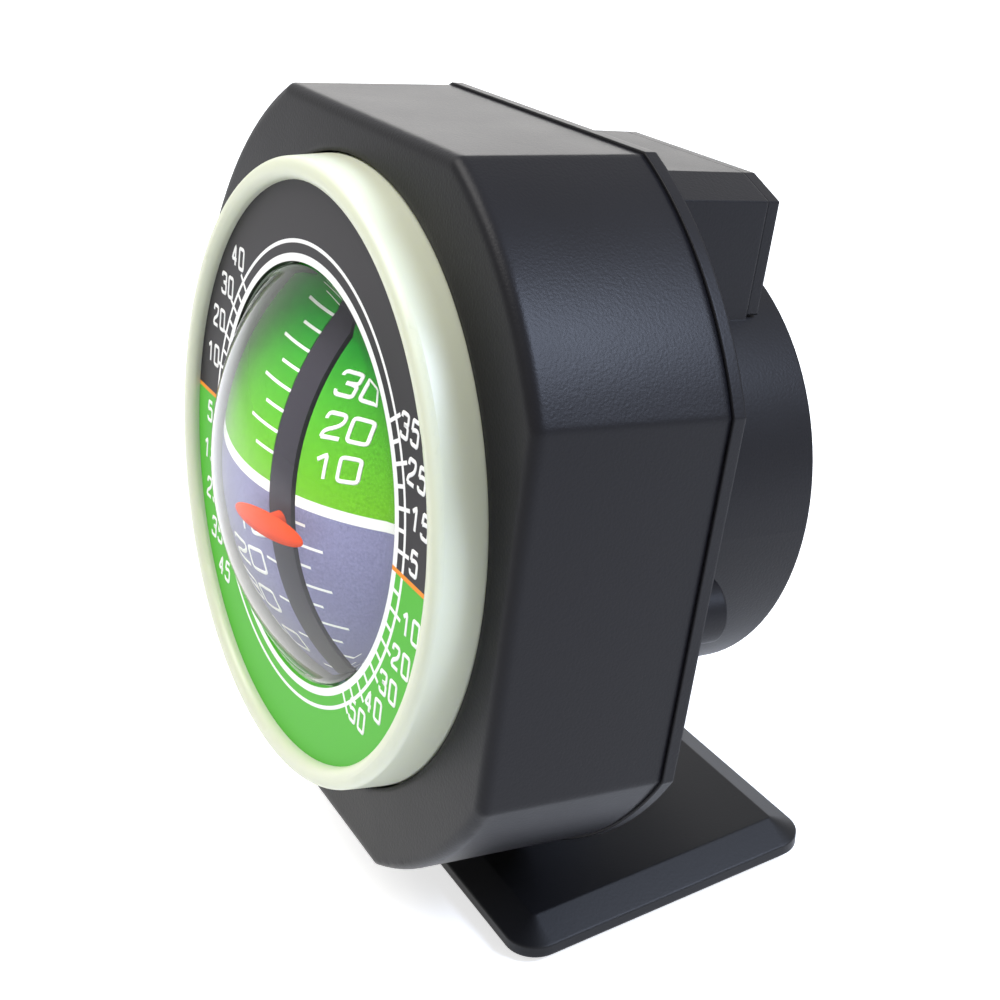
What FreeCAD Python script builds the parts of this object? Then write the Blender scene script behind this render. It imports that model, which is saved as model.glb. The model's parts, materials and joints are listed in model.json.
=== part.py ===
# Dashboard inclinometer: a floating ball with a roll and a pitch scale in a leaning case
# on a short swivel mount. Lengths in millimetres, angles in degrees.
#
# The case has a frame of its own: the dial's front face is its plane Y = 0, +Y points
# into the case and +Z up the dial. The case frame leans back from the upright foot.
# The foot stands on Z = 0 with its middle at the origin.

import FreeCAD, Part
import os
import re
import Sketcher

SIZES = {
    # the lean of the case and the attitude that the floating ball has
    "lean": 9.0,
    "ball_roll": 4.6,
    "ball_pitch": 4.0,
    # gaps between pieces that touch, turn in each other or pass by
    "fit": 0.02,
    "turn_play": 0.05,
    "slack": 0.2,
    "air": 0.3,
    "overrun": 1.0,
    # foot and its pad
    "foot_width": 50.0,
    "foot_depth": 32.0,
    "foot_thickness": 2.5,
    "foot_corner": 3.0,
    "foot_edge": 1.08,
    "foot_bevel": 2.7,
    "pad_thickness": 0.8,
    "pad_inset": 2.0,
    # swivel: fork, screw and washer
    "spigot_radius": 2.6,
    "washer_lap": 0.8,
    "turntable_radius": 7.0,
    "turntable_thickness": 2.2,
    "ear_radius": 3.4,
    "ear_thickness": 2.5,
    "swivel_screw_radius": 1.0,
    "swivel_screw_depth": 2.7,
    "swivel_head_radius": 2.2,
    "swivel_head_height": 0.95,
    "washer_thickness": 0.4,
    # tilt hinge: its room over and behind the fork, how far the case is lifted, and its cross bolt
    "lug_room": 1.05,
    "hinge_room": 0.4,
    "case_lift": 0.95,
    "lug_radius": 3.2,
    "lug_half_width": 3.0,
    "bolt_radius": 1.5,
    "bolt_head_radius": 2.7,
    "bolt_head_height": 2.0,
    "bolt_socket_radius": 1.3,
    "bolt_socket_depth": 1.2,
    "nut_radius": 3.1,
    "nut_height": 2.4,
    "tilt_washer_radius": 3.0,
    # front housing
    "face_back": 2.9,
    "housing_depth": 16.5,
    "face_border": 3.5,
    "corner_reach": 3.65,
    "housing_draft": 2.0,
    "housing_edge": 0.9,
    "housing_wall": 2.0,
    "clamp_boss_radius": 1.6,
    "boss_gap": 0.4,
    # glowing ring
    "seat_room": 2.0,
    "ring_lip": 1.0,
    "ring_wall": 1.2,
    "ring_lean": 0.35,
    "ring_rise": 1.15,
    "ring_round": 0.85,
    "ring_flange_width": 1.2,
    "ring_flange_thickness": 1.5,
    # dial
    "dial_step": 0.5,
    "dial_thickness": 0.8,
    # dome and bowl of the capsule
    "dome_border": 0.8,
    "dome_bulge": 6.3,
    "dome_wall": 0.9,
    "dome_foot_back": 0.2,
    "dome_flange_thickness": 1.2,
    "ball_room": 0.5,
    "bowl_wall": 0.7,
    "flange_reach": 5.5,
    "bowl_flange_thickness": 1.6,
    "seal_border": 0.8,
    "seal_width": 1.2,
    "seal_thickness": 0.8,
    "filler_ahead": 6.0,
    "filler_radius": 1.0,
    "filler_head_radius": 1.8,
    "filler_head_height": 0.8,
    # clamp plate behind the capsule, its screws and its two posts
    "clamp_thickness": 1.6,
    "clamp_screw_radius": 0.8,
    "clamp_screw_depth": 3.9,
    "clamp_head_radius": 1.5,
    "clamp_head_height": 1.0,
    "tower_slope": 13.0,
    "tower_out": 2.26,
    "post_radius": 2.4,
    # rear cover with drum, box and screw towers
    "cover_step": 0.22,
    "cover_thickness": 1.1,
    "lip_depth": 2.0,
    "lip_wall": 1.2,
    "drum_room": 1.84,
    "drum_end_room": 0.3,
    "drum_wall": 0.9,
    "tower_wall": 0.85,
    "tower_height": 7.5,
    "tower_floor": 1.2,
    "case_screw_radius": 0.9,
    "case_screw_length": 9.0,
    "case_head_radius": 1.9,
    "case_head_height": 1.4,
    # lamp box: walls, lid, cells, contacts, board, lamp and switch
    "box_sill": 1.06,
    "box_front_wall": 1.0,
    "box_roof_wall": 0.9,
    "box_bevel_width": 3.9,
    "box_bevel_height": 1.6,
    "switch_room": 3.2,
    "lid_thickness": 1.2,
    "lid_screw_gap": 5.2,
    "lid_screw_border": 2.7,
    "lid_screw_radius": 0.8,
    "lid_screw_depth": 5.0,
    "lid_head_radius": 1.5,
    "lid_head_height": 0.9,
    "cell_radius": 5.0,
    "cell_thickness": 1.6,
    "contact_thickness": 0.3,
    "contact_half_width": 3.5,
    "board_half_width": 6.0,
    "board_height": 4.4,
    "board_thickness": 0.8,
    "board_rise": 2.2,
    "board_post_radius": 0.9,
    "board_post_side": 4.6,
    "lamp_half_width": 1.6,
    "lamp_height": 1.6,
    "lamp_depth": 1.1,
    "slot_half_length": 3.0,
    "slot_height": 1.9,
    "switch_half_length": 1.4,
    "switch_flange": 0.7,
    "switch_rise": 1.1,
    # ball, gimbal disc and pointer
    "ball_radius": 17.3,
    "ball_sink": 2.3,
    "ball_wall": 1.2,
    "cover_wall": 1.2,
    "hub_radius": 2.2,
    "hub_reach": 5.5,
    "shaft_radius": 0.7,
    "weight_radius": 2.8,
    "weight_length": 4.4,
    "weight_inset": 6.8,
    "disc_rim": 0.15,
    "disc_half": 1.4,
    "bush_radius": 1.4,
    "bearing_radius": 1.05,
    "bearing_inset": 3.5,
    "spindle_radius": 0.5,
    "spindle_grip": 2.2,
    "spindle_reach": 4.4,
    "pointer_gap": 1.4,
    "pointer_down": 3.6,
    "pointer_half_length": 4.8,
    "pointer_half_height": 1.0,
    "pointer_half_depth": 0.6,
    "pointer_stem_radius": 0.8,
    "pointer_stem_grip": 1.6,
}

# Sizes that follow from the driving ones: the capsule grows on the ball, the ring on the
# capsule, the housing on the ring and the rear cover on both
DERIVED = {
    # ball, gimbal disc and pointer
    "disc_radius": "ball_radius + disc_rim",
    "ball_slot_half": "disc_half + air",
    "weight_down": "ball_radius - weight_inset",
    "bearing_back": "ball_radius - bearing_inset",
    "pointer_back": "ball_radius + pointer_gap",
    "pocket_radius": "ball_radius - ball_wall",
    "ball_back": "ball_radius + ball_sink",
    # capsule
    "bowl_bore": "ball_radius + ball_room",
    "bowl_radius": "bowl_bore + bowl_wall",
    "capsule_flange_radius": "bowl_radius + flange_reach",
    "seal_inside": "bowl_radius + seal_border - seal_width / 2",
    "seal_outside": "seal_inside + seal_width",
    "filler_back": "ball_back - filler_ahead",
    "dial_bore": "bowl_bore + dial_step",
    "dome_edge": "dial_bore - slack - dome_border",
    "dome_radius": "(dome_edge ^ 2 + dome_bulge ^ 2) / (2 * dome_bulge)",
    "dome_middle_back": "dome_foot_back - dome_bulge + dome_radius",
    "dome_back": "dial_thickness + dome_flange_thickness",
    "bowl_flange_back": "dome_back + bowl_flange_thickness",
    "bearing_end": "ball_back + bowl_radius",
    # ring and housing
    "ring_seat_radius": "capsule_flange_radius + seat_room",
    "ring_lip_radius": "ring_seat_radius - ring_lip",
    "ring_radius": "ring_seat_radius + ring_wall",
    "ring_crest_radius": "ring_radius - ring_lean",
    "ring_flange_radius": "ring_radius + ring_flange_width",
    "housing_flat": "ring_radius + face_border",
    "housing_round": "housing_flat + corner_reach",
    "housing_growth": "housing_depth * tan(housing_draft)",
    "clamp_screw_reach": "(ring_flange_radius + boss_gap + clamp_boss_radius) / sqrt(2)",
    "parting_back": "face_back + housing_depth",
    "inside_round": "housing_round - housing_wall",
    "inside_flat": "housing_flat - housing_wall",
    "wall_back": "face_back + housing_wall",
    "flange_back": "wall_back + ring_flange_thickness",
    "clamp_back": "flange_back + clamp_thickness",
    # rear cover
    "cover_flat": "housing_flat + housing_growth + cover_step",
    "cover_round": "housing_round + housing_growth + cover_step",
    "cover_back": "parting_back + cover_thickness",
    "lip_inside_round": "inside_round - slack - lip_wall",
    "lip_inside_flat": "inside_flat - slack - lip_wall",
    "drum_radius": "bowl_radius + drum_room + drum_wall",
    "drum_back": "ball_back + bowl_radius + drum_end_room + drum_wall",
    "tower_side": "(drum_radius + tower_out) * cos(tower_slope)",
    "tower_down": "(drum_radius + tower_out) * sin(tower_slope)",
    "tower_radius": "case_head_radius + slack + tower_wall",
    "tower_back": "cover_back + tower_height",
    "head_seat": "cover_back + tower_floor",
    # lamp box
    "lid_screw_side": "cell_radius + lid_screw_gap",
    "box_half_width": "lid_screw_side + lid_screw_border",
    "box_top_half_width": "box_half_width - box_bevel_width",
    "box_floor": "drum_radius + box_sill",
    "box_roof": "box_floor + 2 * cell_thickness + 2 * contact_thickness + slack",
    "box_middle": "(box_floor + box_roof) / 2",
    "box_shoulder": "box_roof + box_roof_wall",
    "box_top": "box_shoulder + box_bevel_height",
    "box_inside_front": "cover_back + box_front_wall",
    "cell_back": "box_inside_front + cell_radius + slack",
    "box_end": "cell_back + cell_radius + slack + switch_room",
    "box_back": "box_end + lid_thickness",
    "board_top": "ring_seat_radius + board_rise",
    "board_front": "clamp_back + lamp_depth",
    "switch_off": "switch_half_length + turn_play - slot_half_length",
    # swivel and hinge
    "washer_radius": "spigot_radius + washer_lap",
    "screw_well_radius": "washer_radius + air",
    "screw_well_depth": "turn_play + washer_thickness + swivel_head_height + slack",
    "plate_top": "pad_thickness + foot_thickness",
    "disc_bottom": "plate_top + turn_play",
    "disc_top": "disc_bottom + turntable_thickness",
    "spigot_bottom": "pad_thickness + screw_well_depth - turn_play",
    "ear_inside": "lug_half_width + air",
    "ear_outside": "ear_inside + ear_thickness",
    "hinge_height": "disc_top + lug_radius + lug_room",
    "hinge_back": "cover_back + turntable_radius + hinge_room",
    "hinge_down": "cover_flat - (hinge_height - plate_top) + case_lift",
}

doc = FreeCAD.newDocument("Inclinometer")
sheet = doc.addObject("Spreadsheet::Sheet", "Sizes")
for line, (size_name, size) in enumerate(SIZES.items(), 1):
    sheet.set("A%d" % line, size_name)
    sheet.set("B%d" % line, str(size))
    sheet.setAlias("B%d" % line, size_name)
doc.recompute()

UPRIGHT = FreeCAD.Rotation()
ALONG_X = FreeCAD.Rotation(FreeCAD.Vector(0, 1, 0), 90)
ALONG_Y = FreeCAD.Rotation(FreeCAD.Vector(1, 0, 0), -90)
TURNS = {"X": ALONG_X, "Y": ALONG_Y, "Z": UPRIGHT}

finished = []


def refer(word):
    """A size's name as a reference to its cell, or as the formula that it follows from."""
    name = word.group()
    if name in DERIVED:
        return "(%s)" % formula(DERIVED[name])
    return "Sizes." + name if name in SIZES else name


def formula(text):
    """A text with each size's name replaced by what it refers to."""
    return re.sub(r"[a-z]\w*", refer, text)


def value(text):
    """The number that a formula gives now."""
    return float(sheet.evalExpression(formula(text)))


def bind(thing, formulas):
    """Tie properties of an object to formulas of the sizes."""
    for path, text in formulas.items():
        thing.setExpression(path, formula(text))


def at(thing, x="0", y="0", z="0"):
    """Tie an object's place to three formulas."""
    bind(thing, {"Placement.Base.x": x, "Placement.Base.y": y, "Placement.Base.z": z})
    return thing


def rod(axis, radius, start, end, x="0", y="0", z="0"):
    """A round bar along an axis, from start to end."""
    thing = doc.addObject("Part::Cylinder", "Rod")
    thing.Placement = FreeCAD.Placement(FreeCAD.Vector(), TURNS[axis])
    spot = {"x": x, "y": y, "z": z}
    spot[axis.lower()] = start
    bind(thing, {"Radius": radius, "Height": "(%s) - (%s)" % (end, start)})
    return at(thing, **spot)


def globe(radius, y="0"):
    """A full sphere on the case's axis."""
    thing = doc.addObject("Part::Sphere", "Globe")
    bind(thing, {"Radius": radius})
    return at(thing, y=y)


def brick(x, y, z):
    """A box between two formulas on each axis."""
    thing = doc.addObject("Part::Box", "Brick")
    for side, (start, end) in (("Length", x), ("Width", y), ("Height", z)):
        bind(thing, {side: "(%s) - (%s)" % (end, start)})
    return at(thing, x[0], y[0], z[0])


def both(text):
    """The two ends of a span that is centred on zero."""
    return "-(%s)" % text, text


def join(*things):
    """One solid from several."""
    thing = doc.addObject("Part::MultiFuse", "Join")
    thing.Shapes = list(things)
    return thing


def common(*things):
    """What several solids share."""
    thing = doc.addObject("Part::MultiCommon", "Common")
    thing.Shapes = list(things)
    return thing


def cut(base, *tools):
    """A solid less one or more tools."""
    thing = doc.addObject("Part::Cut", "Less")
    thing.Base = base
    thing.Tool = join(*tools) if len(tools) > 1 else tools[0]
    return thing


def group(*things):
    """Separate solids that share a name."""
    thing = doc.addObject("Part::Compound", "Group")
    thing.Links = list(things)
    return thing


def tube(radius, bore, start, end):
    """A ring on the case's axis between two planes."""
    return cut(rod("Y", radius, start, end), rod("Y", bore, "%s - overrun" % start, "%s + overrun" % end))


def flatted(radius, flat, start, end):
    """A round plate on the case's axis, cut by four flats."""
    square = brick(both(flat), (start, end), both(flat))
    return common(rod("Y", radius, start, end), square)


def new_body(label):
    """A body for sketches and the solids that they drive."""
    return doc.addObject("PartDesign::Body", label)


def new_sketch(body, role, offset="0"):
    """A sketch on one of a body's own planes, moved along the plane's normal."""
    plane = next(item for item in body.Origin.OriginFeatures if item.Role == role)
    sketch = body.newObject("Sketcher::SketchObject", "Sketch")
    sketch.AttachmentSupport = [(plane, "")]
    sketch.MapMode = "FlatFace"
    sketch.setExpression("AttachmentOffset.Base.z", formula(offset))
    return sketch


def pin_point(sketch, curve, end, x, y):
    """Tie a point of a sketch to two formulas; a zero lies on the axis."""
    for kind, axis, text in (("DistanceX", -2, x), ("DistanceY", -1, y)):
        if text == "0":
            sketch.addConstraint(Sketcher.Constraint("PointOnObject", curve, end, axis))
        elif text:
            index = sketch.addConstraint(Sketcher.Constraint(kind, -1, 1, curve, end, value(text)))
            sketch.setExpression("Constraints[%d]" % index, formula(text))


def polygon(sketch, corners):
    """A closed outline of straight lines between bound corners."""
    spots = [FreeCAD.Vector(value(x), value(y), 0) for x, y in corners]
    lines = [Part.LineSegment(start, end) for start, end in zip(spots, spots[1:] + spots[:1])]
    edges = [sketch.addGeometry(line) for line in lines]
    for edge, following in zip(edges, edges[1:] + edges[:1]):
        sketch.addConstraint(Sketcher.Constraint("Coincident", edge, 2, following, 1))
    for edge, (x, y) in zip(edges, corners):
        pin_point(sketch, edge, 1, x, y)


def circle(sketch, radius, x="0", y="0"):
    """A bound circle."""
    middle = FreeCAD.Vector(value(x), value(y), 0)
    edge = sketch.addGeometry(Part.Circle(middle, FreeCAD.Vector(0, 0, 1), value(radius)))
    pin_point(sketch, edge, 3, x, y)
    index = sketch.addConstraint(Sketcher.Constraint("Radius", edge, value(radius)))
    sketch.setExpression("Constraints[%d]" % index, formula(radius))


def extrude(body, kind, sketch, length, reverse=False):
    """A pad or a pocket of a sketch."""
    feature = body.newObject("PartDesign::" + kind, kind)
    feature.Profile = sketch
    feature.Reversed = reverse
    bind(feature, {"Length": length})
    sketch.Visibility = False
    return feature


def spin(body, sketch):
    """A full turn of a sketch about the case's axis."""
    feature = body.newObject("PartDesign::Revolution", "Revolution")
    feature.Profile = sketch
    feature.ReferenceAxis = (sketch, ["V_Axis"])
    feature.Angle = 360
    return feature


def stands_upright(edge):
    """Whether an edge is taller than it is wide and deep."""
    box = edge.BoundBox
    return box.XLength + box.YLength < box.ZLength


def soften(body, radius, wanted):
    """Round the edges of the body's last solid that a test picks."""
    doc.recompute()
    base = body.Tip
    names = ["Edge%d" % number for number, edge in enumerate(base.Shape.Edges, 1) if wanted(edge)]
    feature = body.newObject("PartDesign::Fillet", "Fillet")
    feature.Base = (base, names)
    bind(feature, {"Radius": radius})
    return feature


# Frames: the foot stands still, the case leans on the hinge, the gimbal disc rolls about
# the case's axis at the ball's middle, and the ball pitches about the disc's cross shaft.
UPRIGHT_FRAME = "placement(vector(0; 0; 0); rotation(vector(1; 0; 0); 0))"
CASE_FRAME = (
    "placement(vector(0; hinge_down * sin(lean) - hinge_back * cos(lean); "
    "hinge_height + hinge_back * sin(lean) + hinge_down * cos(lean)); rotation(vector(1; 0; 0); -lean))"
)
GIMBAL_FRAME = CASE_FRAME + " * placement(vector(0; ball_back; 0); rotation(vector(0; 1; 0); -ball_roll))"
BALL_FRAME = GIMBAL_FRAME + " * placement(vector(0; 0; 0); rotation(vector(1; 0; 0); ball_pitch))"


def finish(thing, label, frame):
    """Name a finished sub-part and set it in its frame."""
    thing.Label = label
    bind(thing, {"Placement": frame})
    finished.append(thing)



def base_plate():
    """Foot: a flat slab with round corners, a thin upright edge and a wide shallow bevel."""
    body = new_body("base_plate")
    half_width = "foot_width / 2"
    half_depth = "foot_depth / 2"
    slab = new_sketch(body, "XY_Plane", "pad_thickness")
    corners = [
        (sign_x % half_width, sign_y % half_depth)
        for sign_x, sign_y in (("-(%s)", "-(%s)"), ("%s", "-(%s)"), ("%s", "%s"), ("-(%s)", "%s"))
    ]
    polygon(slab, corners)
    extrude(body, "Pad", slab, "foot_thickness")
    soften(body, "foot_corner", stands_upright)
    top = value("plate_top")
    base = body.Tip
    doc.recompute()
    names = [
        "Edge%d" % number
        for number, edge in enumerate(base.Shape.Edges, 1)
        if min(vertex.Z for vertex in edge.Vertexes) > top - value("fit")
    ]
    bevel = body.newObject("PartDesign::Chamfer", "Chamfer")
    bevel.Base = (base, names)
    bevel.ChamferType = "Two distances"
    bind(bevel, {"Size": "foot_thickness - foot_edge", "Size2": "foot_bevel"})
    well = new_sketch(body, "XY_Plane", "pad_thickness")
    circle(well, "screw_well_radius")
    extrude(body, "Pocket", well, "screw_well_depth", reverse=True)
    bore = new_sketch(body, "XY_Plane", "pad_thickness")
    circle(bore, "spigot_radius + turn_play")
    extrude(body, "Pocket", bore, "foot_thickness + overrun", reverse=True)
    finish(body, "base_plate", UPRIGHT_FRAME)


def adhesive_pad():
    """Foam pad under the foot."""
    half_width = "foot_width / 2 - pad_inset"
    half_depth = "foot_depth / 2 - pad_inset"
    slab = brick(both(half_width), both(half_depth), ("0", "pad_thickness"))
    finish(group(slab), "adhesive_pad", UPRIGHT_FRAME)


def swivel_fork():
    """Turntable with a spigot below and two round-topped ears above."""
    disc = rod("Z", "turntable_radius", "disc_bottom", "disc_top")
    spigot = rod("Z", "spigot_radius", "spigot_bottom", "disc_top")
    ears = []
    for inner, outer in (("ear_inside", "ear_outside"), ("-ear_outside", "-ear_inside")):
        ears.append(brick((inner, outer), both("ear_radius"), ("disc_bottom", "hinge_height")))
        ears.append(rod("X", "ear_radius", inner, outer, z="hinge_height"))
    pin_bore = rod("X", "bolt_radius + fit", *both("ear_radius + ear_outside"), z="hinge_height")
    screw_end = "spigot_bottom + swivel_screw_depth + slack"
    screw_bore = rod("Z", "swivel_screw_radius + fit", "spigot_bottom - overrun", screw_end)
    finish(cut(join(disc, spigot, *ears), pin_bore, screw_bore), "swivel_fork", UPRIGHT_FRAME)


def swivel_screw():
    """Screw that hangs the fork on the foot from below."""
    head_top = "spigot_bottom - washer_thickness"
    shank = rod("Z", "swivel_screw_radius", head_top, "spigot_bottom + swivel_screw_depth")
    head = rod("Z", "swivel_head_radius", head_top + " - swivel_head_height", head_top)
    finish(join(shank, head), "swivel_screw", UPRIGHT_FRAME)


def swivel_washer():
    """Washer between the screw's head and the spigot; it holds the foot's ledge."""
    ring = rod("Z", "washer_radius", "spigot_bottom - washer_thickness", "spigot_bottom")
    bore = rod("Z", "swivel_screw_radius + turn_play", "0", "plate_top")
    finish(cut(ring, bore), "swivel_washer", UPRIGHT_FRAME)


def tilt_bolt():
    """Cross bolt through ears and lug, with a round head that has a socket."""
    shank = rod("X", "bolt_radius", "-ear_outside - nut_height", "ear_outside", z="hinge_height")
    head_end = "ear_outside + bolt_head_height"
    head = rod("X", "bolt_head_radius", "ear_outside", head_end, z="hinge_height")
    socket_floor = head_end + " - bolt_socket_depth"
    socket = rod("X", "bolt_socket_radius", socket_floor, head_end + " + overrun", z="hinge_height")
    finish(cut(join(shank, head), socket), "tilt_bolt", UPRIGHT_FRAME)


def tilt_nut():
    """Hexagonal nut on the bolt's end."""
    hexagon = doc.addObject("Part::Prism", "Hexagon")
    hexagon.Polygon = 6
    hexagon.Placement = FreeCAD.Placement(FreeCAD.Vector(), ALONG_X)
    bind(hexagon, {"Circumradius": "nut_radius", "Height": "nut_height"})
    at(hexagon, x="-ear_outside - nut_height", z="hinge_height")
    bore = rod("X", "bolt_radius + fit", "-ear_outside - nut_height - overrun", "0", z="hinge_height")
    finish(cut(hexagon, bore), "tilt_nut", UPRIGHT_FRAME)


def tilt_washers():
    """Two friction washers between the lug and the ears."""
    washers = []
    spans = (("lug_half_width + fit", "ear_inside - fit"), ("fit - ear_inside", "-lug_half_width - fit"))
    for start, end in spans:
        ring = rod("X", "tilt_washer_radius", start, end, z="hinge_height")
        bore = rod("X", "bolt_radius + fit", start + " - overrun", end + " + overrun", z="hinge_height")
        washers.append(cut(ring, bore))
    finish(group(*washers), "tilt_washers", UPRIGHT_FRAME)


def four_corners(reach):
    """The four places on the diagonals."""
    return [(side_x % reach, side_z % reach) for side_x in ("%s", "-%s") for side_z in ("%s", "-%s")]


def front_housing():
    """Square shell with round corners that widens a little to the rear; the ring's hole is in front."""
    solid = tapered_block("housing_round", "housing_flat", "face_back", "parting_back", "housing_draft")
    inside = flatted("inside_round", "inside_flat", "wall_back", "parting_back + overrun")
    mouth = rod("Y", "ring_radius + slack", "face_back - overrun", "wall_back + overrun")
    bosses = []
    holes = []
    for x, z in four_corners("clamp_screw_reach"):
        bosses.append(rod("Y", "clamp_boss_radius", "face_back + housing_wall / 2", "flange_back", x=x, z=z))
        hole_start = "clamp_back - clamp_screw_depth - slack"
        holes.append(rod("Y", "clamp_screw_radius + fit", hole_start, "clamp_back", x=x, z=z))
    shell = cut(solid, inside, mouth)
    finish(cut(join(shell, *bosses), *holes), "front_housing", CASE_FRAME)


def tapered_block(radius, flat, start, end, draft):
    """A round block with four flats; all its sides widen with the draft, and its front edge is round."""
    grown = "((%s) - (%s)) * tan(%s)" % (end, start, draft)
    cone = doc.addObject("Part::Cone", "Cone")
    cone.Placement = FreeCAD.Placement(FreeCAD.Vector(), ALONG_Y)
    wide_radius = "%s + %s" % (radius, grown)
    bind(cone, {"Radius1": radius, "Radius2": wide_radius, "Height": "(%s) - (%s)" % (end, start)})
    at(cone, y=start)
    wedge = doc.addObject("Part::Wedge", "Wedge")
    wide = "%s + %s" % (flat, grown)
    bind(wedge, {
        "Xmin": "-(%s)" % flat, "Xmax": flat, "Zmin": "-(%s)" % flat, "Zmax": flat,
        "Ymin": "0", "Ymax": "(%s) - (%s)" % (end, start),
        "X2min": "-(%s)" % wide, "X2max": wide, "Z2min": "-(%s)" % wide, "Z2max": wide,
    })
    at(wedge, y=start)
    return common(*[round_front(thing, start) for thing in (cone, wedge)])


def round_front(thing, start):
    """Round the edges that lie in a solid's front plane."""
    doc.recompute()
    front = value(start) + value("fit")
    size = value("housing_edge")
    rounded = doc.addObject("Part::Fillet", "Rounded")
    rounded.Base = thing
    edges = enumerate(thing.Shape.Edges, 1)
    rounded.Edges = [(number, size, size) for number, edge in edges if edge.BoundBox.YMax < front]
    return rounded


def glow_ring():
    """Pale ring with a round crest in front of the housing and a flange behind its wall."""
    body = new_body("glow_ring")
    sketch = new_sketch(body, "XY_Plane")
    polygon(sketch, [
        ("ring_lip_radius", "0"),
        ("ring_lip_radius", "-ring_rise"),
        ("ring_crest_radius", "-ring_rise"),
        ("ring_radius", "face_back"),
        ("ring_radius", "wall_back"),
        ("ring_flange_radius", "wall_back"),
        ("ring_flange_radius", "flange_back"),
        ("ring_seat_radius", "flange_back"),
        ("ring_seat_radius", "0"),
    ])
    spin(body, sketch)
    crest = -value("ring_rise") + value("fit")
    soften(body, "ring_round", lambda edge: edge.BoundBox.YMax < crest)
    finish(body, "glow_ring", CASE_FRAME)


def dial_plate():
    """Printed ring behind the glowing ring's lip."""
    body = new_body("dial_plate")
    sketch = new_sketch(body, "XY_Plane")
    edge = "ring_seat_radius - slack"
    back = "dial_thickness"
    polygon(sketch, [("dial_bore", "0"), (edge, "0"), (edge, back), ("dial_bore", back)])
    spin(body, sketch)
    finish(body, "dial_plate", CASE_FRAME)


def clear_dome():
    """Clear cap with a step in the dial's bore and a flange behind the dial."""
    front = rod("Y", "dome_radius", "-dome_radius", "dome_back")
    cap = common(globe("dome_radius", "dome_middle_back"), front)
    step = rod("Y", "dial_bore - slack", "dome_foot_back", "dome_back")
    flange = rod("Y", "capsule_flange_radius", "dial_thickness", "dome_back")
    hollow = globe("dome_radius - dome_wall", "dome_middle_back")
    finish(cut(join(cap, step, flange), hollow), "clear_dome", CASE_FRAME)


def capsule_bowl():
    """Bowl behind the dome: a flange with a seal groove, a straight wall and a round end."""
    flange = rod("Y", "capsule_flange_radius", "dome_back", "bowl_flange_back")
    wall = rod("Y", "bowl_radius", "dome_back", "ball_back")
    end = common(globe("bowl_radius", "ball_back"), rod("Y", "bowl_radius", "ball_back", "drum_back"))
    bore = rod("Y", "bowl_bore", "dome_back - overrun", "ball_back")
    bore_end = common(globe("bowl_bore", "ball_back"), rod("Y", "bowl_radius", "ball_back", "drum_back"))
    groove = tube("seal_outside", "seal_inside", "dome_back - overrun", "dome_back + seal_thickness")
    bearing_hole = rod("Y", "bearing_radius + fit", "ball_back", "drum_back")
    filler = rod("Z", "filler_radius + fit", "0", "drum_radius", y="filler_back")
    solid = cut(join(flange, wall, end), bore, bore_end, groove, bearing_hole, filler)
    finish(solid, "capsule_bowl", CASE_FRAME)


def capsule_seal():
    """Flat gasket in the bowl's groove."""
    ring = tube("seal_outside - fit", "seal_inside + fit", "dome_back", "dome_back + seal_thickness")
    finish(ring, "capsule_seal", CASE_FRAME)


def filler_plug():
    """Plug of the filling hole in the bowl's wall."""
    stem = rod("Z", "filler_radius", "bowl_bore", "bowl_radius + slack", y="filler_back")
    head = rod("Z", "filler_head_radius", "bowl_radius", "bowl_radius + filler_head_height", y="filler_back")
    finish(join(stem, head), "filler_plug", CASE_FRAME)


def roll_bearing():
    """Long thin bush that carries the gimbal's spindle in the slot between the ball's halves."""
    bush = tube("bearing_radius", "spindle_radius + turn_play", "ball_back + bearing_back", "bearing_end")
    finish(bush, "roll_bearing", CASE_FRAME)


def tower_places():
    """The two screw towers beside the drum."""
    return [("tower_side", "-tower_down"), ("-tower_side", "-tower_down")]


def capsule_clamp():
    """Plate that presses capsule, dial and ring to the housing; its posts take the case's screws."""
    hub = rod("Y", "ring_seat_radius - air", "bowl_flange_back", "clamp_back")
    plate = flatted("inside_round - slack", "inside_flat - slack", "flange_back", "clamp_back")
    posts = [rod("Y", "post_radius", "flange_back", "parting_back", x=x, z=z) for x, z in tower_places()]
    for side in ("board_post_side", "-board_post_side"):
        post_height = "board_top - board_height / 2"
        posts.append(rod("Y", "board_post_radius", "flange_back", "board_front", x=side, z=post_height))
    bore = rod("Y", "bowl_radius + air", "0", "parting_back")
    window_height = ("ring_seat_radius", "ring_seat_radius + lamp_height")
    window = brick(both("lamp_half_width + slack"), ("0", "parting_back"), window_height)
    holes = []
    for x, z in four_corners("clamp_screw_reach"):
        holes.append(rod("Y", "clamp_screw_radius + turn_play", "0", "parting_back", x=x, z=z))
    screw_end = "head_seat - case_screw_length - slack"
    for x, z in tower_places():
        holes.append(rod("Y", "case_screw_radius + fit", screw_end, "cover_back", x=x, z=z))
    finish(cut(join(hub, plate, *posts), bore, window, *holes), "capsule_clamp", CASE_FRAME)


def clamp_screws():
    """Four small screws through the clamp plate into the housing."""
    screws = []
    for x, z in four_corners("clamp_screw_reach"):
        shank = rod("Y", "clamp_screw_radius", "clamp_back - clamp_screw_depth", "clamp_back + fit", x=x, z=z)
        head = rod("Y", "clamp_head_radius", "clamp_back", "clamp_back + clamp_head_height", x=x, z=z)
        screws.append(join(shank, head))
    finish(group(*screws), "clamp_screws", CASE_FRAME)


def case_screws():
    """Two screws in the towers that pull the rear cover to the clamp's posts."""
    screws = []
    for x, z in tower_places():
        shank = rod("Y", "case_screw_radius", "head_seat - case_screw_length", "head_seat + fit", x=x, z=z)
        head = rod("Y", "case_head_radius", "head_seat", "head_seat + case_head_height", x=x, z=z)
        screws.append(join(shank, head))
    finish(group(*screws), "case_screws", CASE_FRAME)


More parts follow.
